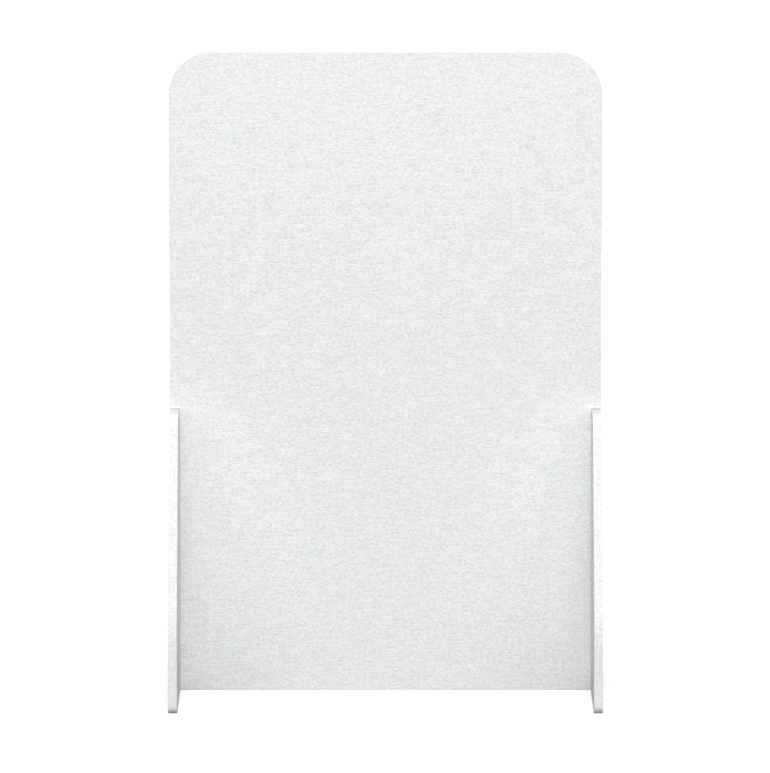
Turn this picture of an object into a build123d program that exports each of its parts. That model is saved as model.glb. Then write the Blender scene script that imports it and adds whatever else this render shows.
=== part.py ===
from build123d import *

import os

# A free-standing acoustic divider screen. One tall slab of pressed felt stands on the floor.
# Each of its lower side edges is cut back by the thickness of a fin, and a full-depth felt fin
# stands in each cut, flush with the slab's side edge above it. Bolts go in through the fins'
# outer faces and into threaded sleeves glued in the edges of the slab.
#
# +X runs along the screen, -Y is its front and +Z is up. The origin is on the floor, midway
# between the two fins and between the slab's two faces. Left and right are as seen from the
# front. All lengths are in millimetres.

# Panel
screen_width = 1200.0
screen_height = 1795.0
panel_thickness = 25.0
top_corner_radius = 118.0

# Fins
fin_thickness = 25.0
fin_height = 797.0
fin_reach = 338.0  # from the panel's face to the foremost point of the toe
shoulder_reach = 100.0  # from the panel's face to where the flat top would meet the slope
knee_height = 230.0  # where the slope would meet the upright front of the toe
shoulder_radius = 55.0
knee_radius = 300.0
toe_radius = 20.0

# Felt
arris_radius = 1.0  # softened edge all round each slab
joint_gap = 2.0  # between the top of a fin and the panel above it

# Bolted joints, each on an axis along X through the middle of the panel's thickness
bolts_per_fin = 3
bolt_end_margin = 90.0  # from the floor to the lowest bolt and from the fin's top to the highest
bolt_diameter = 6.0
bolt_engagement = 29.5  # shank inside the threaded sleeve, which makes it a bolt 50 long
bolt_tip_chamfer = 0.8
head_diameter = 15.0
head_height = 3.3
head_chamfer = 0.9
socket_width = 4.0  # across the flats
socket_depth = 2.2
head_setback = 1.2  # of the head below the fin's outer face
washer_diameter = 24.0
washer_thickness = 1.5
washer_hole_diameter = 6.4
washer_clearance = 0.5  # all round the washer in its recess
shank_clearance = 0.3  # all round the shank in the fin
thread_fit = 0.05  # all round the shank in the sleeve, which has no modelled thread
sleeve_wall = 2.0
sleeve_setback = 0.5  # of the sleeve's mouth below the panel's edge
sleeve_spare = 10.0  # sleeve beyond the tip of the bolt
glue_line = 0.1  # all round the sleeve in the panel
bore_spare = 1.5  # bore beyond the end of the sleeve

# Places that follow from the sizes above
joint_x = screen_width / 2 - fin_thickness  # face where a fin meets the panel's cut edge
toe_y = panel_thickness / 2 + fin_reach
shoulder_y = panel_thickness / 2 + shoulder_reach
bolt_radius = bolt_diameter / 2
recess_depth = head_setback + head_height + washer_thickness
washer_seat = fin_thickness - recess_depth
head_seat = washer_seat + washer_thickness
sleeve_length = bolt_engagement + sleeve_spare - sleeve_setback
sleeve_bore_radius = bolt_radius + thread_fit
sleeve_radius = bolt_radius + thread_fit + sleeve_wall
panel_bore_radius = sleeve_radius + glue_line
panel_bore_depth = sleeve_setback + sleeve_length + bore_spare

bolt_pitch = (fin_height - 2 * bolt_end_margin) / (bolts_per_fin - 1)
bolt_heights = [bolt_end_margin + row * bolt_pitch for row in range(bolts_per_fin)]

# Each joint plane lies on one cut edge of the panel and faces out of it.
right_joint = Plane(origin=(joint_x, 0, 0), x_dir=(0, 1, 0), z_dir=(1, 0, 0))
left_joint = Plane(origin=(-joint_x, 0, 0), x_dir=(0, -1, 0), z_dir=(-1, 0, 0))

# A fastener is made at the origin, along +Z, with Z = 0 at the joint face and +Z towards the
# fin's outer face. These places put one on each bolt axis.
bolt_places = [
    joint.location * Location((0, height, 0))
    for joint in (left_joint, right_joint)
    for height in bolt_heights
]


# --- Panel ---
with BuildPart() as panel:
    with BuildSketch(Plane.XZ) as panel_outline:
        with BuildLine():
            wing_z = fin_height + joint_gap
            right_side = [
                (joint_x, 0),
                (joint_x, wing_z),
                (screen_width / 2, wing_z),
                (screen_width / 2, screen_height),
            ]
            left_side = [(-x, z) for x, z in reversed(right_side)]
            Polyline(*right_side, *left_side, close=True)
        make_face()
        fillet(panel_outline.vertices().group_by(Axis.Y)[-1], top_corner_radius)
    extrude(amount=panel_thickness / 2, both=True)
    panel_faces = panel.faces().filter_by(Axis.Y)
    fillet(panel_faces.edges(), arris_radius)
    # blind bores for the sleeves, in both cut edges
    for joint in (left_joint, right_joint):
        with BuildSketch(joint):
            with Locations(*[(0, height) for height in bolt_heights]):
                Circle(panel_bore_radius)
        extrude(amount=-panel_bore_depth, mode=Mode.SUBTRACT)
panel.part.label = "panel"


# --- Fins ---
def make_fin(joint, label):
    """A fin that stands on its joint plane, with its bolt holes and washer recesses."""
    with BuildPart() as fin:
        with BuildSketch(joint) as fin_outline:
            with BuildLine():
                front_side = [(-toe_y, 0), (-toe_y, knee_height), (-shoulder_y, fin_height)]
                back_side = [(-y, z) for y, z in reversed(front_side)]
                Polyline(*front_side, *back_side, close=True)
            make_face()
            toes, knees, shoulders = fin_outline.vertices().group_by(Axis.Y)
            fillet(toes, toe_radius)
            fillet(knees, knee_radius)
            fillet(shoulders, shoulder_radius)
        extrude(amount=fin_thickness)
        side_faces = fin.faces().filter_by(Axis.X)
        fillet(side_faces.edges(), arris_radius)
        with Locations(joint.offset(fin_thickness)):
            with Locations(*[(0, height) for height in bolt_heights]):
                CounterBoreHole(
                    radius=bolt_radius + shank_clearance,
                    counter_bore_radius=washer_diameter / 2 + washer_clearance,
                    counter_bore_depth=recess_depth,
                )
    fin.part.label = label
    return fin


left_fin = make_fin(left_joint, "left_fin")
right_fin = make_fin(right_joint, "right_fin")


# --- Threaded sleeves, glued into the panel ---
with BuildPart() as sleeve:
    with BuildSketch(Plane.XY.offset(-sleeve_setback)):
        Circle(sleeve_radius)
        Circle(sleeve_bore_radius, mode=Mode.SUBTRACT)
    extrude(amount=-sleeve_length)

with BuildPart() as threaded_sleeves:
    with Locations(*bolt_places):
        add(sleeve.part)
threaded_sleeves.part.label = "threaded_sleeves"


# --- Connector bolts ---
with BuildPart() as bolt:
    with Locations((0, 0, -bolt_engagement)):
        shank_length = bolt_engagement + head_seat
        Cylinder(bolt_radius, shank_length, align=(Align.CENTER, Align.CENTER, Align.MIN))
    chamfer(bolt.faces().sort_by(Axis.Z)[0].edges(), bolt_tip_chamfer)
    with Locations((0, 0, head_seat)):
        Cylinder(head_diameter / 2, head_height, align=(Align.CENTER, Align.CENTER, Align.MIN))
    chamfer(bolt.faces().sort_by(Axis.Z)[-1].edges(), head_chamfer)
    with BuildSketch(Plane.XY.offset(head_seat + head_height)):
        RegularPolygon(radius=socket_width / 2, side_count=6, major_radius=False)
    extrude(amount=-socket_depth, mode=Mode.SUBTRACT)

with BuildPart() as connector_bolts:
    with Locations(*bolt_places):
        add(bolt.part)
connector_bolts.part.label = "connector_bolts"


# --- Washers under the heads ---
with BuildPart() as washer:
    with BuildSketch(Plane.XY.offset(washer_seat)):
        Circle(washer_diameter / 2)
        Circle(washer_hole_diameter / 2, mode=Mode.SUBTRACT)
    extrude(amount=washer_thickness)

with BuildPart() as bolt_washers:
    with Locations(*bolt_places):
        add(washer.part)
bolt_washers.part.label = "bolt_washers"


os.makedirs("parts", exist_ok=True)
export_step(panel.part, "parts/panel.step")
export_step(left_fin.part, "parts/left_fin.step")
export_step(right_fin.part, "parts/right_fin.step")
export_step(threaded_sleeves.part, "parts/threaded_sleeves.step")
export_step(connector_bolts.part, "parts/connector_bolts.step")
export_step(bolt_washers.part, "parts/bolt_washers.step")
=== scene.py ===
import math

import bmesh
import bpy
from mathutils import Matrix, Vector, noise


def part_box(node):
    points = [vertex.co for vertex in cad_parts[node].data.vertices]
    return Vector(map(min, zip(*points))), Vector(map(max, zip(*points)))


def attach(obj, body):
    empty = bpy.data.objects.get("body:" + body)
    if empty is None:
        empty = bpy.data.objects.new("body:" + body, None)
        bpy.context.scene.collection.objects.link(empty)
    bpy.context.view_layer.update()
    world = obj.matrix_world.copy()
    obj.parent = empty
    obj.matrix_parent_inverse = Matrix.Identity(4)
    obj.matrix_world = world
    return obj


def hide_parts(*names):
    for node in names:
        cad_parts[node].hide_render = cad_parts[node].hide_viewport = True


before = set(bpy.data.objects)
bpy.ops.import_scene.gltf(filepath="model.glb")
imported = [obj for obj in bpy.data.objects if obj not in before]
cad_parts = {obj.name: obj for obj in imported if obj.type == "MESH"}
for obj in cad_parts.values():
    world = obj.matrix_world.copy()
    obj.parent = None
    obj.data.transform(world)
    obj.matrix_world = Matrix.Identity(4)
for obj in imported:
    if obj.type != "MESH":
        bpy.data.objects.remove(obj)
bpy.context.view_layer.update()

# The looks of a free-standing acoustic divider screen: three boards of pressed light grey felt,
# and the metal bolts, washers and threaded sleeves that hold them together. Metres, in the
# frame's own axes: +X along the screen, -Y towards its front, +Z up from the floor.

# --- Sizes that the frame gives ---
panel_low, panel_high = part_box("panel")
SCREEN_HALF_WIDTH = panel_high.x
SCREEN_HEIGHT = panel_high.z
PANEL_THICKNESS = panel_high.y - panel_low.y

fin_low, fin_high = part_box("right_fin")
JOINT_X = fin_low.x  # where a fin meets the panel's cut edge
FIN_THICKNESS = fin_high.x - fin_low.x
FIN_HEIGHT = fin_high.z
TOE_Y = fin_high.y

washer_low, washer_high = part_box("bolt_washers")
WASHER_RADIUS = washer_high.y  # every bolt's axis runs along X, at Y = 0
LOWEST_BOLT = washer_low.z + WASHER_RADIUS
HIGHEST_BOLT = washer_high.z - WASHER_RADIUS
BOLT_HEIGHTS = (LOWEST_BOLT, (LOWEST_BOLT + HIGHEST_BOLT) / 2, HIGHEST_BOLT)

# --- Outlines of the boards ---
TOP_CORNER_RADIUS = 0.118
SHOULDER_REACH = 0.100  # from the panel's face to where a fin's flat top would meet its slope
SHOULDER_Y = PANEL_THICKNESS / 2 + SHOULDER_REACH
KNEE_HEIGHT = 0.230  # where that slope would meet the upright end of the toe
SHOULDER_RADIUS = 0.055
KNEE_RADIUS = 0.300
TOE_RADIUS = 0.020
JOINT_GAP = 0.0020  # between the top of a fin and the panel above it
ARRIS_RADIUS = 0.0010  # softened edge all round each board

# --- Holes for the bolts ---
RECESS_RADIUS = 0.0125
RECESS_DEPTH = 0.006
BOLT_HOLE_RADIUS = 0.0033
SLEEVE_BORE_RADIUS = 0.00515
SLEEVE_BORE_DEPTH = 0.041

# --- Meshing of the boards ---
ARC_STEP = 0.003  # along an arc of an outline
LEAST_ARC_STEPS = 8
EDGE_STEP = 0.006  # along a straight run of an outline
GRID_CELL = 0.020  # on the flat faces
ON_CUT = 0.00001  # a vertex this near to a cut of the grid lies on it
ARRIS_STEPS = 4
EDGE_ROWS = 6  # rows of faces across a cut edge, between its arrises
PAINTED_SHADE_RINGS = ARRIS_STEPS - 1  # rings of vertices that carry the painted shade along a face's border, from its border outwards
HOLD_WIDTH = 0.003  # band of flat face that keeps the shading of an arris to itself
SHARP_ANGLE = 40  # degrees, above which a fold is shaded as a sharp edge
HOLE_SIDES = 64
OVERCUT = 0.001  # by which a cutter stands out of the board

# --- Unevenness of pressed and cut felt ---
FACE_RIPPLE = 0.00006
FACE_RIPPLE_LENGTH = 0.070
EDGE_WAVER = 0.00012
EDGE_WAVER_LENGTH = 0.012


# --- Mesh of a board ---
def rounded_outline(corners):
    """Points of a closed outline of (u, v, radius) corners, taken anticlockwise."""
    points = []
    for i, (u, v, radius) in enumerate(corners):
        corner = Vector((u, v))
        if radius == 0:
            points.append(corner)
            continue
        before = (Vector(corners[i - 1][:2]) - corner).normalized()
        after = (Vector(corners[(i + 1) % len(corners)][:2]) - corner).normalized()
        half_angle = before.angle(after) / 2
        centre = corner + (before + after).normalized() * radius / math.sin(half_angle)
        start = corner + before * radius / math.tan(half_angle) - centre
        sweep = math.pi - 2 * half_angle
        steps = max(LEAST_ARC_STEPS, math.ceil(sweep * radius / ARC_STEP))
        for k in range(steps + 1):
            turn = sweep * k / steps
            cosine, sine = math.cos(turn), math.sin(turn)
            across = cosine * start.x - sine * start.y
            up = sine * start.x + cosine * start.y
            points.append(centre + Vector((across, up)))
    return points


def inset(outline, distance):
    """The outline moved inwards by a small distance."""
    moved = []
    for i, point in enumerate(outline):
        along_in = (point - outline[i - 1]).normalized()
        along_out = (outline[(i + 1) % len(outline)] - point).normalized()
        normal_in = Vector((-along_in.y, along_in.x))
        normal_out = Vector((-along_out.y, along_out.x))
        moved.append(point + (normal_in + normal_out) * distance / (1 + normal_in.dot(normal_out)))
    return moved


def with_even_runs(outline):
    """The outline with points added along its straight runs."""
    points = []
    for i, end in enumerate(outline):
        start = outline[i - 1]
        pieces = max(1, round((end - start).length / EDGE_STEP))
        points += [start.lerp(end, k / pieces) for k in range(1, pieces + 1)]
    return points


def edge_profile(thickness):
    """(inset, height above mid-thickness) of each ring of vertices round a board's edge."""
    flat_half = thickness / 2 - ARRIS_RADIUS
    upper = []
    for k in range(ARRIS_STEPS + 1):
        turn = math.pi / 2 * (1 - k / ARRIS_STEPS)
        upper.append((ARRIS_RADIUS * (1 - math.cos(turn)), flat_half + ARRIS_RADIUS * math.sin(turn)))
    middle = [(0, flat_half * (1 - 2 * k / EDGE_ROWS)) for k in range(1, EDGE_ROWS)]
    lower = [(distance, -height) for distance, height in reversed(upper)]
    return upper + middle + lower


def cut_into_grid(bm, outline):
    """Cuts a flat mesh along both axes into cells, which divide its outline's extent evenly."""
    for axis in (0, 1):
        normal = [0, 0, 0]
        normal[axis] = 1
        low = min(point[axis] for point in outline)
        high = max(point[axis] for point in outline)
        cells = round((high - low) / GRID_CELL)
        for k in range(1, cells):
            place = [0, 0, 0]
            place[axis] = low + (high - low) * k / cells
            geometry = bm.verts[:] + bm.edges[:] + bm.faces[:]
            bmesh.ops.bisect_plane(bm, geom=geometry, dist=ON_CUT, plane_co=place, plane_no=normal)


def border_loop(bm):
    """The vertices round the border of a flat mesh, in the order of its faces' winding."""
    following = {}
    for edge in bm.edges:
        if edge.is_boundary:
            loop = edge.link_loops[0]
            following[loop.vert] = loop.link_loop_next.vert
    first = next(iter(following))
    border = [first]
    while following[border[-1]] != first:
        border.append(following[border[-1]])
    return border


def board_mesh(corners, thickness, to_frame):
    """A closed board with soft arrises and a grid on both faces. to_frame places (u, v, height)."""
    outline = with_even_runs(rounded_outline(corners))
    face_inset = ARRIS_RADIUS + HOLD_WIDTH
    bm = bmesh.new()
    # This layer marks the vertices whose felt gets painted shade along each face's border.
    painted_arris_shade = bm.verts.layers.float.new("painted_arris_shade")
    bm.faces.new([bm.verts.new((*point, thickness / 2)) for point in inset(outline, face_inset)])
    cut_into_grid(bm, outline)
    top_border = border_loop(bm)
    copied = bmesh.ops.duplicate(bm, geom=bm.verts[:] + bm.edges[:] + bm.faces[:])
    for item in copied["geom"]:
        if isinstance(item, bmesh.types.BMVert):
            item.co.z = -thickness / 2
    bottom_border = [copied["vert_map"][vertex] for vertex in top_border]

    full_outline = inset([vertex.co.xy for vertex in top_border], -face_inset)
    edge_rings = []
    for distance, height in edge_profile(thickness):
        ring_outline = inset(full_outline, distance)
        edge_rings.append([bm.verts.new((*point, height)) for point in ring_outline])
    for ring in edge_rings[:PAINTED_SHADE_RINGS] + edge_rings[-PAINTED_SHADE_RINGS:]:
        for vertex in ring:
            vertex[painted_arris_shade] = 1
    rings = [top_border] + edge_rings + [bottom_border]
    for above, below in zip(rings, rings[1:]):
        for i in range(len(above)):
            bm.faces.new((above[i - 1], below[i - 1], below[i], above[i]))

    for vertex in bm.verts:
        vertex.co = to_frame(*vertex.co)
    bmesh.ops.recalc_face_normals(bm, faces=bm.faces)
    return bm


def add_object(name, bm):
    mesh = bpy.data.meshes.new(name)
    bm.to_mesh(mesh)
    bm.free()
    obj = bpy.data.objects.new(name, mesh)
    bpy.context.scene.collection.objects.link(obj)
    return obj


def add_stepped_pin(bm, side, height, steps):
    """A round pin along X. Its steps are (x, radius), from the mouth of its hole inwards."""
    rings = []
    for x, radius in steps:
        ring = []
        for k in range(HOLE_SIDES):
            turn = math.tau * k / HOLE_SIDES
            place = (side * x, radius * math.cos(turn), height + radius * math.sin(turn))
            ring.append(bm.verts.new(place))
        rings.append(ring)
    bm.faces.new(rings[0])
    bm.faces.new(rings[-1])
    for outer, inner in zip(rings, rings[1:]):
        for k in range(HOLE_SIDES):
            bm.faces.new((outer[k - 1], outer[k], inner[k], inner[k - 1]))


def cut_holes(board, sides, steps):
    """Cuts the same stepped hole at each bolt of each side, which is 1 for right and -1 for left."""
    bm = bmesh.new()
    for side in sides:
        for height in BOLT_HEIGHTS:
            add_stepped_pin(bm, side, height, steps)
    bmesh.ops.recalc_face_normals(bm, faces=bm.faces)
    cutter = add_object("cutter", bm)
    cut = board.modifiers.new("holes", "BOOLEAN")
    cut.object = cutter
    cut.operation = "DIFFERENCE"
    cut.solver = "EXACT"
    depsgraph = bpy.context.evaluated_depsgraph_get()
    cut_mesh = bpy.data.meshes.new_from_object(board.evaluated_get(depsgraph))
    board.modifiers.clear()
    plain_mesh, board.data = board.data, cut_mesh
    bpy.data.meshes.remove(plain_mesh)
    bpy.data.objects.remove(cutter)


def make_uneven(board, face_axis):
    """Moves each vertex a hair: long low ripples across the faces, short wavers along cut edges."""
    normals = [vertex.normal.copy() for vertex in board.data.vertices]
    for vertex, normal in zip(board.data.vertices, normals):
        facing = abs(normal[face_axis])
        ripple = noise.noise(vertex.co / FACE_RIPPLE_LENGTH) * FACE_RIPPLE
        waver = noise.noise(vertex.co / EDGE_WAVER_LENGTH) * EDGE_WAVER
        vertex.co += normal * (facing * ripple + (1 - facing) * (waver - EDGE_WAVER))
        vertex.co.z = max(vertex.co.z, 0)


def finish_board(board, node_name, material, face_axis):
    """Gives a board its unevenness, shading and felt, and puts it in the place of its CAD node."""
    make_uneven(board, face_axis)
    board.data.polygons.foreach_set("use_smooth", [True] * len(board.data.polygons))
    board.data.set_sharp_from_angle(angle=math.radians(SHARP_ANGLE))
    shading = board.modifiers.new("flat_faces", "WEIGHTED_NORMAL")
    shading.keep_sharp = True
    board.data.materials.append(material)
    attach(board, "root")
    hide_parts(node_name)


# --- Boards ---
def make_panel(material):
    """The tall board, cut back for the fins, with blind bores for the sleeves in both cuts."""
    right = [
        (JOINT_X, 0, 0),
        (JOINT_X, FIN_HEIGHT + JOINT_GAP, 0),
        (SCREEN_HALF_WIDTH, FIN_HEIGHT + JOINT_GAP, 0),
        (SCREEN_HALF_WIDTH, SCREEN_HEIGHT, TOP_CORNER_RADIUS),
    ]
    left = [(-x, z, radius) for x, z, radius in reversed(right)]
    bm = board_mesh(right + left, PANEL_THICKNESS, lambda u, v, height: (u, -height, v))
    panel = add_object("felt_panel", bm)
    mouth_x = JOINT_X + OVERCUT
    end_x = JOINT_X - SLEEVE_BORE_DEPTH
    cut_holes(panel, (-1, 1), [(mouth_x, SLEEVE_BORE_RADIUS), (end_x, SLEEVE_BORE_RADIUS)])
    finish_board(panel, "panel", material, face_axis=1)


def make_fin(name, node_name, side, material):
    """A fin with its bolt holes and washer recesses. side is 1 for the right one, -1 for the left."""
    back = [
        (TOE_Y, 0, TOE_RADIUS),
        (TOE_Y, KNEE_HEIGHT, KNEE_RADIUS),
        (SHOULDER_Y, FIN_HEIGHT, SHOULDER_RADIUS),
    ]
    front = [(-y, z, radius) for y, z, radius in reversed(back)]
    middle_x = side * (JOINT_X + FIN_THICKNESS / 2)
    bm = board_mesh(back + front, FIN_THICKNESS, lambda u, v, height: (middle_x + height, u, v))
    fin = add_object(name, bm)
    outer_x = JOINT_X + FIN_THICKNESS
    seat_x = outer_x - RECESS_DEPTH
    recess = [(outer_x + OVERCUT, RECESS_RADIUS), (seat_x, RECESS_RADIUS)]
    shank_hole = [(seat_x, BOLT_HOLE_RADIUS), (JOINT_X - OVERCUT, BOLT_HOLE_RADIUS)]
    cut_holes(fin, (side,), recess + shank_hole)
    finish_board(fin, node_name, material, face_axis=0)


# --- Shader nodes that the materials share ---
def add_node(tree, kind, inputs=(), **settings):
    """A shader node with its settings, and its inputs filled with numbers or linked to sockets."""
    made = tree.nodes.new(kind)
    for name, value in settings.items():
        setattr(made, name, value)
    for key, value in dict(inputs).items():
        if isinstance(value, bpy.types.NodeSocket):
            tree.links.new(value, made.inputs[key])
        else:
            made.inputs[key].default_value = value
    return made


def new_material(name):
    material = bpy.data.materials.new(name)
    material.use_nodes = True
    tree = material.node_tree
    tree.nodes.clear()
    return material, tree


def maths(tree, operation, first, second=0.0, third=0.0):
    inputs = {0: first, 1: second, 2: third}
    return add_node(tree, "ShaderNodeMath", inputs, operation=operation).outputs[0]


def mix_colour(tree, factor, first, second, blend="MIX"):
    """The Mix node's sockets for colours are 6 and 7 going in, and 2 coming out."""
    inputs = {0: factor, 6: first, 7: second}
    mixer = add_node(tree, "ShaderNodeMix", inputs, data_type="RGBA", blend_type=blend)
    return mixer.outputs[2]


def grain(tree, coordinates, size, turn=0.0, detail=0.0, roughness=0.5, curl=0.0):
    """Noise from 0 to 1, whose lumps have the given size in metres along each axis, turned about Y."""
    lump_space = {"Vector": coordinates, "Rotation": (0, turn, 0), "Scale": size}
    stretched = add_node(tree, "ShaderNodeMapping", lump_space, vector_type="TEXTURE").outputs[0]
    inputs = {
        "Vector": stretched,
        "Scale": 1.0,
        "Detail": detail,
        "Roughness": roughness,
        "Distortion": curl,
    }
    return add_node(tree, "ShaderNodeTexNoise", inputs, noise_dimensions="3D").outputs["Fac"]


def swing(tree, value, amount):
    """The noise value, turned into a number that swings about 1 by the amount each way."""
    return maths(tree, "MULTIPLY_ADD", maths(tree, "SUBTRACT", value, 0.5), 2 * amount, 1.0)


def strands_of(tree, coordinates, size, turns, sharpness, curl=0.0):
    """Lines that cross each other at the given turns; 1 on a line. Sharper ones are thinner."""
    strands = None
    for turn in turns:
        noise_value = grain(tree, coordinates, size, turn, detail=1.0, curl=curl)
        distance = maths(tree, "ABSOLUTE", maths(tree, "SUBTRACT", noise_value, 0.5))
        ridge = maths(tree, "SUBTRACT", 1.0, maths(tree, "MULTIPLY", distance, sharpness))
        ridge = maths(tree, "MAXIMUM", ridge, 0.0)
        strands = ridge if strands is None else maths(tree, "MAXIMUM", strands, ridge)
    return strands


def bumped(tree, relief):
    """The surface's normal under a relief in metres."""
    inputs = {"Height": relief, "Strength": 1.0, "Distance": 1.0}
    return add_node(tree, "ShaderNodeBump", inputs).outputs[0]


# --- Felt ---
# Size of each grain in metres, along the board, through it and up it
LUMP_SIZE = (0.0088, 0.0044, 0.0038)
FINE_SIZE = (0.0011, 0.0009, 0.0010)
PATCH_SIZE = (0.040, 0.020, 0.020)
STREAK_SIZE = (0.038, 0.020, 0.0036)
TINT_SIZE = (0.030, 0.016, 0.022)
LAYER_SIZE = (0.030, 0.0011, 0.030)
FIBRE_SIZE = (0.0100, 0.0011, 0.0011)
FIBRE_TURNS = (0.15, 1.3, -0.6, 2.2)  # radians, each from level
FIBRE_SHARPNESS = 9.0
FIBRE_CURL = 1.2
# How strongly each grain shows, as a share of the colour
LUMP_TONE = 0.355
FINE_TONE = 0.15
PATCH_TONE = 0.015
STREAK_TONE = 0.11
FIBRE_TONE = 0.20
FIBRE_SHARE = 0.60  # strength of the fibres that leaves the colour as it is
LAYER_TONE = 0.10
PAINTED_ARRIS_SHADE_TONE = 0.055  # painted shade along the border of a face, standing in for the shading of its arris, fading over its last few millimetres
LIGHTEST_SHADE = 1.14  # to which the grains together may lighten the colour
# Height of each grain in metres
LUMP_RELIEF = 0.0007
FINE_RELIEF = 0.00015
FIBRE_RELIEF = 0.00010
LAYER_RELIEF = 0.0002
# The pressed layers show on cut edges, by the part of the normal that runs through the board
CUT_EDGE_FACING = 0.35  # up to this they show fully
FLAT_FACE_FACING = 0.85  # from this on they don't show
COOL_FELT = (0.820, 0.853, 0.882, 1)
WARM_FELT = (0.856, 0.853, 0.800, 1)
FELT_ROUGHNESS = 0.95
FELT_SPECULAR = 0.05
FELT_SHEEN = 0.02
FELT_SHEEN_ROUGHNESS = 0.5


def felt_grains(tree, board):
    """The noises that make up the felt, each from 0 to 1."""
    return {
        "lumps": grain(tree, board, LUMP_SIZE, detail=2.5, roughness=0.55),
        "fine": grain(tree, board, FINE_SIZE, detail=2.0, roughness=0.6),
        "patches": grain(tree, board, PATCH_SIZE, detail=1.0),
        "streaks": grain(tree, board, STREAK_SIZE, detail=1.0),
        "tints": grain(tree, board, TINT_SIZE, detail=2.0, roughness=0.6),
        "layers": grain(tree, board, LAYER_SIZE, detail=2.0, roughness=0.7),
        "fibres": strands_of(tree, board, FIBRE_SIZE, FIBRE_TURNS, FIBRE_SHARPNESS, FIBRE_CURL),
    }


def felt_colour(tree, grains, on_edge):
    """A cool or warm tint, shaded by the grains, with painted shade along the rim of the board's faces.
    """
    shade = swing(tree, grains["lumps"], LUMP_TONE)
    for name, tone in (("fine", FINE_TONE), ("patches", PATCH_TONE), ("streaks", STREAK_TONE)):
        shade = maths(tree, "MULTIPLY", shade, swing(tree, grains[name], tone))
    pale_fibres = maths(tree, "SUBTRACT", grains["fibres"], FIBRE_SHARE)
    shade = maths(tree, "MULTIPLY", shade, maths(tree, "MULTIPLY_ADD", pale_fibres, FIBRE_TONE, 1.0))
    layer_shade = maths(tree, "MULTIPLY", maths(tree, "SUBTRACT", grains["layers"], 0.5), LAYER_TONE)
    shade = maths(tree, "ADD", shade, maths(tree, "MULTIPLY", layer_shade, on_edge))
    shade = maths(tree, "MINIMUM", shade, LIGHTEST_SHADE)
    # Painted shade: the felt is darkened along each face's border, standing in for the shading of its
    # arris.
    painted_arris_shade = add_node(tree, "ShaderNodeAttribute", attribute_name="painted_arris_shade").outputs["Fac"]
    shade = maths(tree, "MULTIPLY", shade, maths(tree, "MULTIPLY_ADD", painted_arris_shade, -PAINTED_ARRIS_SHADE_TONE, 1.0))
    tint = mix_colour(tree, grains["tints"], COOL_FELT, WARM_FELT)
    return mix_colour(tree, 1.0, tint, shade, "MULTIPLY")


def felt_relief(tree, grains, on_edge):
    """The height of the grains together, in metres."""
    relief = maths(tree, "MULTIPLY", grains["lumps"], LUMP_RELIEF)
    relief = maths(tree, "MULTIPLY_ADD", grains["fine"], FINE_RELIEF, relief)
    relief = maths(tree, "MULTIPLY_ADD", grains["fibres"], FIBRE_RELIEF, relief)
    layers = maths(tree, "MULTIPLY", grains["layers"], on_edge)
    return maths(tree, "MULTIPLY_ADD", layers, LAYER_RELIEF, relief)


def felt_material(name, turn_to_board):
    """Pressed polyester felt. The turn about Z brings the board's thickness to the Y axis."""
    material, tree = new_material(name)
    coordinates = add_node(tree, "ShaderNodeTexCoord").outputs
    turned = {"Rotation": (0, 0, turn_to_board)}
    board = add_node(tree, "ShaderNodeMapping", {"Vector": coordinates["Object"], **turned}).outputs[0]
    facing = add_node(tree, "ShaderNodeMapping", {"Vector": coordinates["Normal"], **turned}).outputs[0]
    facing_y = add_node(tree, "ShaderNodeSeparateXYZ", {0: facing}).outputs["Y"]
    edge_range = {
        "Value": maths(tree, "ABSOLUTE", facing_y),
        "From Min": CUT_EDGE_FACING,
        "From Max": FLAT_FACE_FACING,
        "To Min": 1.0,
        "To Max": 0.0,
    }
    ranged = add_node(tree, "ShaderNodeMapRange", edge_range, interpolation_type="SMOOTHSTEP")
    on_edge = ranged.outputs[0]
    grains = felt_grains(tree, board)
    surface = {
        "Base Color": felt_colour(tree, grains, on_edge),
        "Roughness": FELT_ROUGHNESS,
        "Specular IOR Level": FELT_SPECULAR,
        "Sheen Weight": FELT_SHEEN,
        "Sheen Roughness": FELT_SHEEN_ROUGHNESS,
        "Normal": bumped(tree, felt_relief(tree, grains, on_edge)),
    }
    shader = add_node(tree, "ShaderNodeBsdfPrincipled", surface)
    add_node(tree, "ShaderNodeOutputMaterial", {"Surface": shader.outputs[0]})
    return material


# --- Metal ---
# Sizes of its marks in metres
TURNING_SIZE = 0.00022  # rings left by the lathe
BLOOM_SIZE = (0.0026, 0.0020, 0.0020)  # cloudy patches of the plating
SCRATCH_SIZE = (0.0050, 0.00025, 0.00025)
SCRATCH_TURNS = (0.6, -0.5, 1.4)  # radians, each from the bolt's axis
SCRATCH_SHARPNESS = 40.0
TURNING_TONE = 0.20
TURNING_RELIEF = 0.000008
SCRATCH_RELIEF = 0.000006
SCRATCH_GLOSS = 0.25  # share of the roughness that a scratch takes away
BLOOM_DULLNESS = 0.25  # share of the roughness by which the patches differ each way
STEEL_ROUGHNESS = 0.34
STEEL_COLOUR = (0.62, 0.63, 0.64, 1)
STEEL_BLOOM = (0.40, 0.43, 0.49, 1)
BRASS_ROUGHNESS = 0.36
BRASS_COLOUR = (0.72, 0.60, 0.35, 1)
BRASS_BLOOM = (0.60, 0.47, 0.25, 1)


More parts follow.
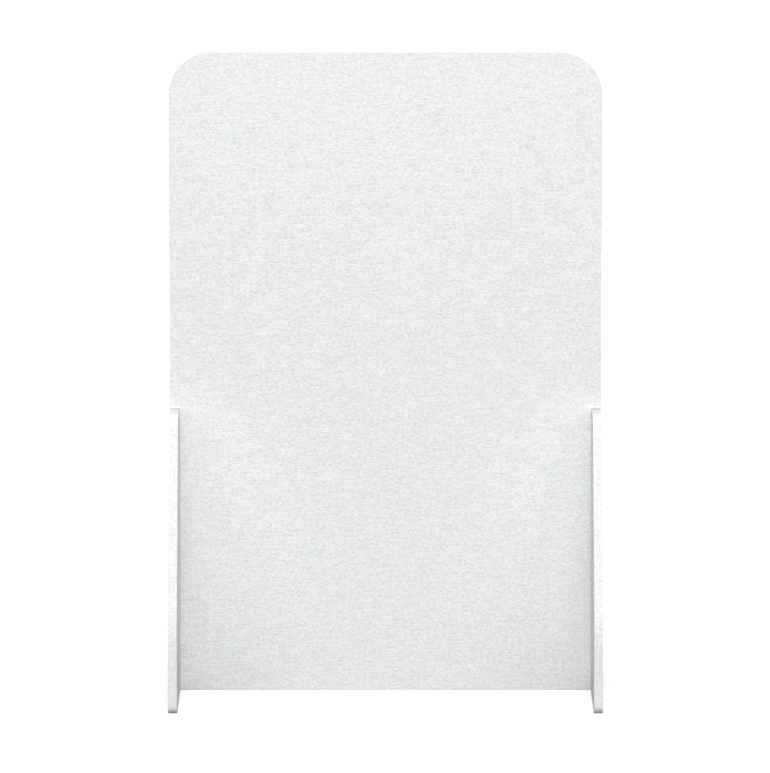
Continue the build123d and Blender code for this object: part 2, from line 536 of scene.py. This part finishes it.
def metal_material(name, colour, bloom_colour, roughness):
    """Turned metal, with fine rings about the axis of the nearest bolt."""
    material, tree = new_material(name)
    place = add_node(tree, "ShaderNodeTexCoord").outputs["Object"]
    x, y, z = add_node(tree, "ShaderNodeSeparateXYZ", {0: place}).outputs
    half_pitch = (BOLT_HEIGHTS[1] - BOLT_HEIGHTS[0]) / 2
    above_lowest = maths(tree, "SUBTRACT", z, BOLT_HEIGHTS[0])
    above_axis = maths(tree, "WRAP", above_lowest, half_pitch, -half_pitch)
    square = maths(tree, "MULTIPLY_ADD", above_axis, above_axis, maths(tree, "MULTIPLY", y, y))
    radius = maths(tree, "SQRT", square)
    about_axis = add_node(tree, "ShaderNodeCombineXYZ", {0: x, 1: radius, 2: 0.0}).outputs[0]
    rings = grain(tree, about_axis, (TURNING_SIZE, TURNING_SIZE, 1.0), detail=2.0, roughness=0.7)
    bloom = grain(tree, place, BLOOM_SIZE, detail=3.0, roughness=0.6)
    scratches = strands_of(tree, place, SCRATCH_SIZE, SCRATCH_TURNS, SCRATCH_SHARPNESS)

    tinted = mix_colour(tree, bloom, colour, bloom_colour)
    tinted = mix_colour(tree, 1.0, tinted, swing(tree, rings, TURNING_TONE), "MULTIPLY")
    dullness = swing(tree, bloom, BLOOM_DULLNESS)
    worn = maths(tree, "MULTIPLY_ADD", scratches, -SCRATCH_GLOSS, dullness)
    relief = maths(tree, "MULTIPLY", rings, TURNING_RELIEF)
    relief = maths(tree, "MULTIPLY_ADD", scratches, -SCRATCH_RELIEF, relief)
    surface = {
        "Base Color": tinted,
        "Metallic": 1.0,
        "Roughness": maths(tree, "MULTIPLY", worn, roughness),
        "Normal": bumped(tree, relief),
    }
    shader = add_node(tree, "ShaderNodeBsdfPrincipled", surface)
    add_node(tree, "ShaderNodeOutputMaterial", {"Surface": shader.outputs[0]})
    return material


def dress_fasteners():
    """Gives the CAD's own bolts, washers and sleeves their metals."""
    steel = metal_material("zinc_steel", STEEL_COLOUR, STEEL_BLOOM, STEEL_ROUGHNESS)
    brass = metal_material("turned_brass", BRASS_COLOUR, BRASS_BLOOM, BRASS_ROUGHNESS)
    metals = {"connector_bolts": steel, "bolt_washers": steel, "threaded_sleeves": brass}
    for node_name, metal in metals.items():
        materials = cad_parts[node_name].data.materials
        materials.clear()
        materials.append(metal)


# --- Floor and light ---
WHITE = (1, 1, 1, 1)
FLOOR_SIZE = 120.0
FLOOR_BOUNCE = 0.06  # grey that the floor throws back at the object
FLOOR_GLOW = 0.25  # white added to the floor as it is seen, which keeps the shadow faint
DOME_LIGHT = 0.25  # from every side
FULL_LIGHT = math.pi  # W/m2, under which a white surface that faces the lamp renders as white
DISTANT_LAMPS = (  # name, share of full light, then azimuth, elevation and softness in degrees
    ("front_wide", 0.36, 0, 12, 45),
    ("front_fill", 0.13, 0, 8, 6),
    ("front_left", 0.137, -40, 20, 30),
    ("front_right", 0.137, 40, 20, 30),
    ("overhead", 0.20, 0, 80, 20),
    ("back_wide", 0.32, 180, 14, 45),
    ("left_side", 0.38, -125, 6, 40),
    ("right_side", 0.38, 125, 6, 40),
)
CEILING_LAMP_SIZE = (4.0, 1.5)
CEILING_LAMP_WATTS = 70.0
CEILING_LAMP_PLACE = (0, -4.0, 5.0)
CEILING_LAMP_AIM = (0, 0, 1.2)


def seen_directly(tree):
    """1 for rays that show the white studio: from the camera, in reflections and through glass."""
    ray = add_node(tree, "ShaderNodeLightPath").outputs
    seen = maths(tree, "MAXIMUM", ray["Is Camera Ray"], ray["Is Glossy Ray"])
    return maths(tree, "MAXIMUM", seen, ray["Is Transmission Ray"])


def make_floor():
    """A wide floor, white where it is seen directly and dark to the light that reaches the object."""
    bm = bmesh.new()
    bmesh.ops.create_grid(bm, x_segments=1, y_segments=1, size=FLOOR_SIZE / 2)
    floor = add_object("floor", bm)
    material, tree = new_material("floor_paint")
    grey = (FLOOR_BOUNCE, FLOOR_BOUNCE, FLOOR_BOUNCE, 1)
    seen = seen_directly(tree)
    paint = add_node(tree, "ShaderNodeBsdfDiffuse", {"Color": mix_colour(tree, seen, grey, WHITE)})
    strength = maths(tree, "MULTIPLY", seen, FLOOR_GLOW)
    glow = add_node(tree, "ShaderNodeEmission", {"Color": WHITE, "Strength": strength})
    both = add_node(tree, "ShaderNodeAddShader", {0: paint.outputs[0], 1: glow.outputs[0]})
    add_node(tree, "ShaderNodeOutputMaterial", {"Surface": both.outputs[0]})
    floor.data.materials.append(material)


def make_world():
    """White where it is seen directly, and the dome's light on the object."""
    world = bpy.data.worlds.new("studio")
    bpy.context.scene.world = world
    world.use_nodes = True
    tree = world.node_tree
    tree.nodes.clear()
    strength = maths(tree, "MULTIPLY_ADD", seen_directly(tree), 1 - DOME_LIGHT, DOME_LIGHT)
    background = add_node(tree, "ShaderNodeBackground", {"Color": WHITE, "Strength": strength})
    add_node(tree, "ShaderNodeOutputWorld", {"Surface": background.outputs[0]})


def add_lamp(lamp, towards):
    """Puts a lamp in the scene, turned so that its light comes from the given direction."""
    obj = bpy.data.objects.new(lamp.name, lamp)
    obj.rotation_euler = towards.to_track_quat("Z", "Y").to_euler()
    bpy.context.scene.collection.objects.link(obj)
    return obj


def make_distant_lamp(name, share, azimuth, elevation, softness):
    """A distant soft lamp. Azimuth 0 is the front and 90 the right."""
    lamp = bpy.data.lights.new(name, "SUN")
    lamp.energy = share * FULL_LIGHT
    lamp.angle = math.radians(softness)
    turn, rise = math.radians(azimuth), math.radians(elevation)
    level = math.cos(rise)
    add_lamp(lamp, Vector((math.sin(turn) * level, -math.cos(turn) * level, math.sin(rise))))


def make_ceiling_lamp():
    """A wide lamp over the front of the screen. Its light falls away down the panel."""
    lamp = bpy.data.lights.new("ceiling_lamp", "AREA")
    lamp.shape = "RECTANGLE"
    lamp.size, lamp.size_y = CEILING_LAMP_SIZE
    lamp.energy = CEILING_LAMP_WATTS
    obj = add_lamp(lamp, Vector(CEILING_LAMP_PLACE) - Vector(CEILING_LAMP_AIM))
    obj.location = CEILING_LAMP_PLACE


# --- Camera ---
# Fitted to the photograph's view: far off, higher than the screen, and looking down at it
IMAGE_HEIGHT_PX = 773
FOCAL_PX = 7647.4
CAMERA_PITCH = 9.0211  # degrees
CAMERA_PLACE = (-0.00134, -21.0450, 4.2008)
SENSOR = 36.0  # mm, along the picture's longer side, which is its height
CLIP_END = 200.0  # beyond every corner of the floor


def make_camera():
    data = bpy.data.cameras.new("camera")
    data.sensor_width = SENSOR
    data.lens = FOCAL_PX * SENSOR / IMAGE_HEIGHT_PX
    data.clip_end = CLIP_END
    camera = bpy.data.objects.new("camera", data)
    camera.location = CAMERA_PLACE
    camera.rotation_euler = (math.radians(90 - CAMERA_PITCH), 0, 0)
    bpy.context.scene.collection.objects.link(camera)
    bpy.context.scene.camera = camera


# --- Making ---
panel_felt = felt_material("panel_felt", 0.0)
fin_felt = felt_material("fin_felt", math.pi / 2)
make_panel(panel_felt)
make_fin("felt_fin_right", "right_fin", 1, fin_felt)
make_fin("felt_fin_left", "left_fin", -1, fin_felt)
dress_fasteners()

make_floor()
make_world()
for lamp_values in DISTANT_LAMPS:
    make_distant_lamp(*lamp_values)
make_ceiling_lamp()
make_camera()
bpy.context.scene.view_settings.view_transform = "Standard"
